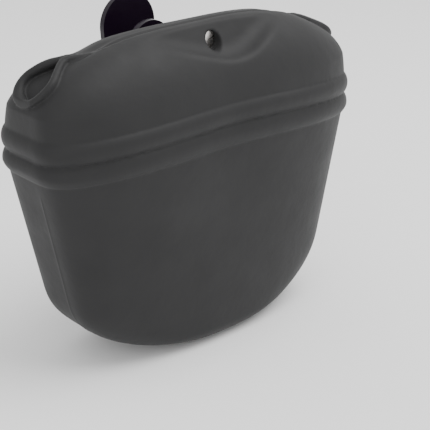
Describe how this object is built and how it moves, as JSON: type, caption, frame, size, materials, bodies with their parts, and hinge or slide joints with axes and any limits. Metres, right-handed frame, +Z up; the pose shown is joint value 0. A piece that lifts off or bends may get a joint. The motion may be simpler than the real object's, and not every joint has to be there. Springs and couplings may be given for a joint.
{
  "type": "treat pouch",
  "caption": "Hollow silicone treat pouch with a bend-open magnetic mouth, raised ribs and a spring clip on its back.",
  "frame": {"origin": "centre of the small flat that the pouch stands on", "axes": "+X along the pouch's length, +Y to the back where the clip is, +Z up"},
  "size_m": [0.1269, 0.0589, 0.1072],
  "materials": {
    "silicone": "matte silicone, very fine even grain",
    "nickel": "nickel plate, slightly dulled",
    "clip_plastic": "gloss moulded plastic",
    "steel": "plated steel",
    "plate_plastic": "matte moulded plastic"
  },
  "bodies": {
    "pouch": {"pouch_body": "silicone", "back_magnet": "nickel", "clip_base": "clip_plastic", "pivot_pin": "steel", "torsion_spring": "steel", "backing_plate": "plate_plastic", "clip_screws": "steel"},
    "lip": {"front_lip": "silicone", "front_magnet": "nickel"},
    "arm": {"clip_arm": "clip_plastic"}
  },
  "joints": [
    {"name": "mouth_open", "type": "hinge", "parent": "pouch", "child": "lip", "pos_m": [0, -0.0205, 0.0779], "axis": [1, 0, 0], "range_deg": [0, 32], "stiffness_Nm_per_rad": 0.15},
    {"name": "clip_squeeze", "type": "hinge", "parent": "pouch", "child": "arm", "pos_m": [0, 0.0292, 0.082], "axis": [1, 0, 0], "range_deg": [0, 18], "stiffness_Nm_per_rad": 0.35, "deforming": ["torsion_spring"]}
  ]
}
